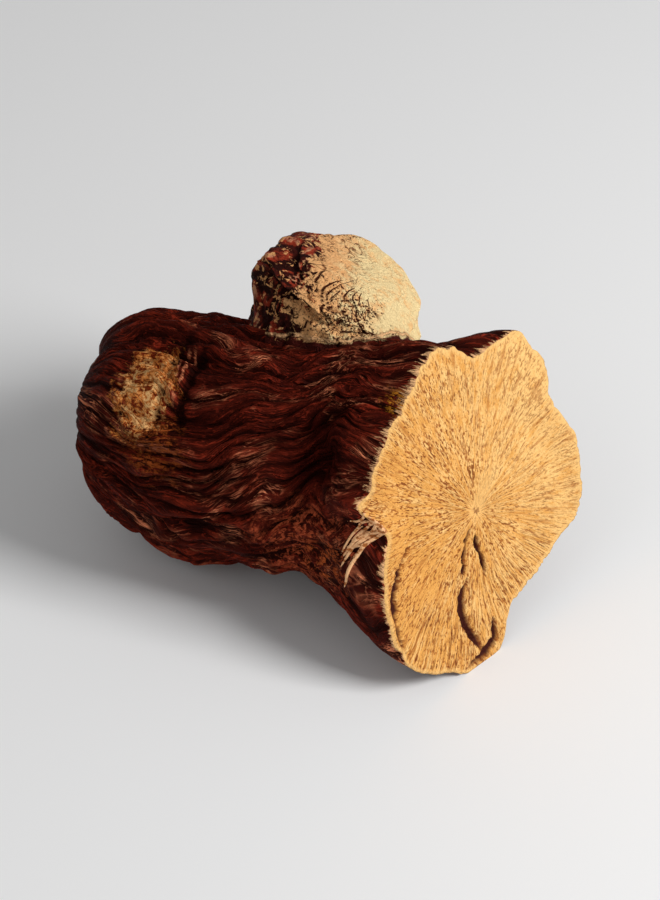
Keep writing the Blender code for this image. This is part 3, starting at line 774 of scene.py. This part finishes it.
def stump_finish():
    """The stump's skin: red scales with painted shade and highlight; on the other side, bare pale tissue with
    dark pores.
    """
    finish = Finish("stump_skin")
    rise, tinted = finish.rise, finish.tinted
    _, _, height = finish.grain()
    place = finish.object_mm(STUMP_MIDDLE)
    broad = finish.noise(place, 0.2, 3.0, 0.6)
    flake = finish.noise(place, 0.8, 4.0, 0.65, 0.8)
    pore = finish.noise(place, 2.5, 3.0, 0.65, 0.5)
    dot = {"operation": "DOT_PRODUCT"}
    lean = finish.node("ShaderNodeVectorMath", dot, {0: place, 1: PALE_SIDE}, output=1)

    # the scaly side: dark between the scales with painted shade, pink on their tops as painted highlight
    stands = height + 0.6 * (flake - 0.5)
    red = tinted(rise(finish.noise(place, 0.5, 3.0), 0.42, 0.58), BARK_BROWN, SCALE_RED)
    scaly = tinted(rise(stands, 0.25, 0.50), FURROW_SHADE_BROWN, red)
    scaly = tinted(rise(stands, 0.56, 0.70) * 0.8, scaly, SCALE_TOP_HIGHLIGHT)
    scaly = tinted(rise(broad + 1.8 * (flake - 0.5), 0.64, 0.70), scaly, PEACH_AND_WARM_SHADE)

    # the bare side, with its slits, its pores, and the gaps between its folds, dark partly with painted shade
    bare = tinted(rise(broad * 0.4 + flake * 0.6, 0.34, 0.54), SCAR_BEIGE, PALE_CREAM)
    # peach where the bare side turns towards the scales: partly the tissue's colour, partly painted warm
    # shade
    bare = tinted(rise(lean + 8.0 * (flake - 0.5), 2.5, -4.0) * 0.85, bare, PEACH_AND_WARM_SHADE)
    slit = finish.threads(place, 0.6, 0.055) * rise(lean, 4.0, -1.0) * rise(broad, 0.40, 0.54)
    bare = tinted(slit * rise(flake, 0.62, 0.46) * 0.9, bare, DASH_AND_SHADE_BROWN)
    dense = rise(finish.distance_from(PORE_MIDDLE) + 14.0 * (broad - 0.5), 9.0, 3.0)
    bare = tinted(dense * rise(flake, 0.60, 0.44) * 0.7, bare, PEACH_AND_WARM_SHADE)
    bare = tinted(rise(pore - 0.17 * dense, 0.37, 0.29), bare, PORE_AND_GAP_SHADE_BROWN)
    # the gaps between folds, dark partly with painted shade
    bare = tinted(rise(height + 0.5 * (flake - 0.5), -0.05, -0.4), bare, PORE_AND_GAP_SHADE_BROWN)
    pale = rise(lean + 10.0 * (broad - 0.5) + 14.0 * (flake - 0.5), -6.6, -5.2)
    tone = tinted(pale, scaly, bare)

    # the bark's edge round its foot, with a pale ledge over it
    beyond, y, z = finish.parts(finish.object_mm((FOOT_PLACE, 0.0, 0.0)))
    above = (y * y + z * z) ** 0.5 - beyond * FOOT_RISE - FOOT_REACH
    above = above + 1.2 * (flake - 0.5) + 2.5 * (broad - 0.5)
    tone = tinted(rise(above, 1.2, 0.8), tone, BARK_BROWN)
    ledge = rise(abs(above - 1.45), 0.34, 0.12) * rise(flake, 0.34, 0.46)
    tone = tinted(ledge * 0.9, tone, FIBRE_CREAM)

    normal = finish.bumped(flake * 0.8 + pore * 0.6 + (1 - slit) * 0.3 + ledge * 0.5, 0.8)
    return finish.finished(tone, 0.72, normal, 0.1)


stump_skin = stump_finish()

# The side root was trimmed to a stub when the crown was cleaned. Its bark is furrowed as the body's is, and
# its sawn end shows the same pale wood. The root lies on it, on its lobe and on a swelling under its far end.
SIDE_LINE = ((-22.0, 6.0, -5.0), (-22.0, 13.0, -10.2), (-24.0, 20.0, -14.8), (-27.0, 27.0, -16.2))
SIDE_GIRTHS = (8.5, 7.2, 6.4, 6.0)
SIDE_LENGTH = 24.0
SIDE_CAPS = (0.12, 0.80)  # shares of its rings at which its inner end stops and its sawn end starts
SIDE_FURROWS = ((7, 1.0, 12.0, 1.4, 41), (16, 1.2, 8.0, 0.6, 42), (33, 1.5, 6.0, 0.3, 43))  # as FURROWS
SIDE_RING = 4.0  # from its middle to the darker ring in its wood
N_SIDE_AROUND, N_SIDE_ALONG = 90, 50


def side_root(angle, share):
    """The side root: a tapering line with ridges on it, and a sawn end."""
    starts, ends = SIDE_CAPS
    at = np.clip((share - starts) / (ends - starts), 0, 1)
    centre, reach, outward = carried(angle, at, SIDE_LINE, SIDE_GIRTHS)
    closing = np.clip(share / starts, 0, 1) * np.clip((1 - share) / (1 - ends), 0, 1)
    ridges = furrowed(angle / (2 * np.pi), at * SIDE_LENGTH, SIDE_FURROWS)
    points = centre + outward * ((reach + ridges) * closing)[..., None]
    along = np.stack([at * SIDE_LENGTH - SIDE_LENGTH, 0.6 + ridges / 3], axis=-1)
    return points, round_axis(angle, SIDE_GIRTHS[-1]), along


def end_finish():
    """The side root's sawn end: pale wood, speckled, with a darker ring."""
    finish = Finish("sawn_end")
    place = finish.object_mm(SIDE_LINE[-1])
    speckle = finish.noise(place, 1.8, 3.0, 0.6)
    off_ring = abs(finish.distance(place) + 0.8 * (speckle - 0.5) - SIDE_RING)
    ring = finish.rise(off_ring, 0.7, 0.1)
    tone = finish.tinted(finish.rise(speckle, 0.4, 0.65), WOOD_OCHRE, WOOD_DARK)
    tone = finish.tinted(ring * 0.6, tone, RIDGE_RED)
    return finish.finished(tone, 0.8, finish.bumped(speckle, 0.4))


sawn_end = end_finish()

# The crown is these grown together, one piece of wood with one skin. So the three shapes are joined, and then
# cut level with the ground, which leaves it flat only at the three small spots that it rests on.
GROUND_SIZE = 0.3  # in metres


def slots_of_stump(row):
    """The stump's own skin all over."""
    return np.full_like(row, STUMP_SKIN)


def slots_of_side(row):
    """Bark as far as the side root's end, and then sawn wood."""
    return np.where(row >= round(SIDE_CAPS[1] * N_SIDE_ALONG), SAWN_END, BARK)


def straighten_edges(mesh):
    """Takes out the points that the joining leaves inside an edge, where only two edges meet."""
    edge_ends = np.empty(len(mesh.edges) * 2, np.int32)
    mesh.edges.foreach_get("vertices", edge_ends)
    skin = bmesh.new()
    skin.from_mesh(mesh)
    skin.verts.ensure_lookup_table()
    bmesh.ops.dissolve_verts(skin, verts=[skin.verts[i] for i in np.flatnonzero(np.bincount(edge_ends) == 2)])
    skin.to_mesh(mesh)
    skin.free()


crown = closed_skin("crown", N_AROUND, N_BODY, body, slots_of_body)
stump = closed_skin("stump", N_STUMP_AROUND, N_STUMP_ALONG, stem_stump, slots_of_stump)
side = closed_skin("side", N_SIDE_AROUND, N_SIDE_ALONG, side_root, slots_of_side)
# no UV map, as it would stay on the crown
bpy.ops.mesh.primitive_cube_add(size=GROUND_SIZE, calc_uvs=False, location=(0.0, 0.0, -GROUND_SIZE / 2))
ground = bpy.context.object
for other, operation in ((stump, "UNION"), (side, "UNION"), (ground, "DIFFERENCE")):
    modifier = crown.modifiers.new(other.name, "BOOLEAN")
    modifier.operation = operation
    modifier.solver = "MANIFOLD"
    modifier.object = other
joined = crown.evaluated_get(bpy.context.evaluated_depsgraph_get())
grown = bpy.data.meshes.new_from_object(joined)
straighten_edges(grown)
crown.modifiers.clear()
crown.data = grown
grown.shade_smooth()
for other in (stump, side, ground):
    bpy.data.objects.remove(other)
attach(crown, "root")
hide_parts("root_crown")

# Where the saw left the root, a bundle of fibres tore off the notch in the rim and lies back over the bark.
# Each is a flat strand that is still fast to the crown at the rim.
TORN_ANGLE, TORN_SPREAD, TORN_TURN = 161.0, 12.0, 39.0  # where they start, over what width, and their turn
TORN_LENGTH, TORN_WIDTH, TORN_THICKNESS, TORN_LIFT = 12.0, 0.8, 0.55, 0.6
TORN_START, TORN_SINK = 0.6, 0.3  # they start this far before the face's plane, and sink so far in the bark
TORN_WAVE, TORN_RIPPLE = (1.3, 7), (0.12, 9)  # round the body in degrees and off it in mm, and how fast
N_TORN, TORN_SEED, TORN_SIDES, TORN_STEPS = 15, 97, 8, 20


def torn_strand(draw):
    """One strand: a flat tapering tube along a wavering line on the bark, as points in rings."""
    start = TORN_ANGLE + draw.uniform(-0.5, 0.5) * TORN_SPREAD
    turn = TORN_TURN * draw.uniform(0.7, 1.25)
    length = TORN_LENGTH * draw.uniform(0.6, 1.0)
    lift = TORN_LIFT * draw.uniform(0.2, 1.0)
    phase = draw.uniform(0, 6)
    step = np.linspace(0, 1, TORN_STEPS)
    wave, waves = TORN_WAVE
    angle = np.radians(start + turn * step * length / TORN_LENGTH + wave * np.sin(phase + waves * step))
    t = TORN_START - (length + TORN_START) * step
    reach, _ = bark_reach(angle, grain(angle, t) / (2 * np.pi), t)
    ripple, ripples = TORN_RIPPLE
    arch = lift * np.sin(np.pi * np.clip(step * 1.15, 0, 1))
    reach = reach - TORN_SINK + arch + ripple * np.sin(phase + ripples * step)
    middle = leaned(reach * np.cos(angle), reach * np.sin(angle), t)
    outward = np.stack([step * 0, np.cos(angle), np.sin(angle)], axis=-1)
    ahead = np.gradient(middle, axis=0)
    side = unit(np.cross(ahead, outward))
    round_it = np.arange(TORN_SIDES) * 2 * np.pi / TORN_SIDES
    taper = (np.sqrt(1.02 - step) * draw.uniform(0.5, 1.0))[:, None, None]
    across = TORN_WIDTH / 2 * np.cos(round_it)[:, None] * side[:, None]
    over = TORN_THICKNESS / 2 * np.sin(round_it)[:, None] * outward[:, None]
    return middle[:, None] + taper * (across + over)


def torn_finish():
    """Torn fibres: pale wood, browner in streaks where bark still clings."""
    finish = Finish("torn_fibre")
    place = finish.object_mm((0.0, 0.0, 0.0))
    streak = finish.noise(finish.stretched(place, (0.6, 1.0, 1.0)), 1.3, 3.0, 0.6)
    tone = finish.tinted(finish.rise(streak, 0.40, 0.52), WOOD_DARK, FIBRE_CREAM)
    return finish.finished(tone, 0.8, finish.bumped(streak, 0.3))


draw = np.random.default_rng(TORN_SEED)
strands = np.stack([torn_strand(draw) for _ in range(N_TORN)])
ring = np.arange(TORN_SIDES)
rings = (np.arange(TORN_STEPS - 1)[:, None] * TORN_SIDES)[..., None]
next_ring = (ring + 1) % TORN_SIDES
around = np.stack([ring, ring + TORN_SIDES, next_ring + TORN_SIDES, next_ring], axis=-1)
per_strand = (rings + around).reshape(-1, 4).tolist()
ends = [ring.tolist(), (ring[::-1] + (TORN_STEPS - 1) * TORN_SIDES).tolist()]
faces = [[v + i * TORN_STEPS * TORN_SIDES for v in f] for i in range(N_TORN) for f in per_strand + ends]
torn_mesh = bpy.data.meshes.new("torn_fibres")
torn_mesh.from_pydata(placed(strands.reshape(-1, 3)), [], faces)
torn_mesh.materials.append(torn_finish())
torn_mesh.shade_smooth()
torn = bpy.data.objects.new("torn_fibres", torn_mesh)
bpy.context.scene.collection.objects.link(torn)
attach(torn, "root")

# The studio: a plain pale floor, a soft light from the right with a weaker one from the left, and the camera,
# which looks down on the sawn face at the photograph's angle.
VIEW_MIDDLE = (-20.5, -3.2, 5.1)  # from the middle of the sawn face
VIEW_DISTANCE, VIEW_WIDTH = 380.0, 129.6  # the longer side of the picture takes in this width there
AZIMUTH, ELEVATION = np.radians(21.7), np.radians(42.0)
SENSOR = 36.0
KEY_PLACE, KEY_WIDTH, KEY_POWER = (450, 160, 380), 240.0, 3.3  # to the right, nearer the camera, and up
FILL_PLACE, FILL_WIDTH, FILL_POWER = (-500, 300, 450), 600.0, 0.5
FLOOR_SIZE, FLOOR_COLOUR = 6.0, (0.9, 0.9, 0.9, 1.0)  # in metres
SKY_COLOUR, SKY_STRENGTH = (1.0, 1.0, 1.0, 1.0), 0.28


def aimed(obj, place, target):
    """Puts an object at a place, in mm, with its -Z axis towards a target and its Y axis up."""
    away = unit(np.array(place) - np.array(target))
    right = unit(np.cross((0.0, 0.0, 1.0), away))
    turned = np.eye(4)
    turned[:3, :3] = np.stack([right, np.cross(away, right), away], axis=1)
    turned[:3, 3] = np.array(place) * MM
    obj.matrix_world = Matrix(turned)
    bpy.context.scene.collection.objects.link(obj)


level = np.array((np.sin(AZIMUTH), -np.cos(AZIMUTH), 0.0)) * np.cos(ELEVATION)
back = level + np.array((0.0, 0.0, np.sin(ELEVATION)))  # from the target to the camera
toward_camera = unit(np.array((back[0], back[1], 0.0)))  # and along the floor
right = np.array((np.cos(AZIMUTH), np.sin(AZIMUTH), 0.0))
target = np.array(VIEW_MIDDLE) + FACE_FROM_ORIGIN
camera_data = bpy.data.cameras.new("camera")
camera_data.sensor_width = SENSOR
camera_data.lens = SENSOR * VIEW_DISTANCE / VIEW_WIDTH
camera_data.clip_start = 0.01
camera = bpy.data.objects.new("camera", camera_data)
aimed(camera, target + back * VIEW_DISTANCE, target)
bpy.context.scene.camera = camera


def soft_light(name, place, width, power):
    """A square light that stands off the target and shines on it."""
    to_right, nearer, up = place
    light = bpy.data.lights.new(name, "AREA")
    light.size = width * MM
    light.energy = power
    stands_at = target + right * to_right + toward_camera * nearer + np.array((0, 0, up))
    aimed(bpy.data.objects.new(name, light), stands_at, target)


soft_light("key", KEY_PLACE, KEY_WIDTH, KEY_POWER)
soft_light("fill", FILL_PLACE, FILL_WIDTH, FILL_POWER)

bpy.ops.mesh.primitive_plane_add(size=FLOOR_SIZE)
floor = bpy.context.object
floor.name = "floor"
floor.data.materials.append(Finish("floor_white").finished(FLOOR_COLOUR, 0.9))

world = bpy.data.worlds.new("studio")
world.use_nodes = True
sky = world.node_tree.nodes["Background"]
sky.inputs["Color"].default_value = SKY_COLOUR
sky.inputs["Strength"].default_value = SKY_STRENGTH
bpy.context.scene.world = world
bpy.context.scene.view_settings.view_transform = "Standard"
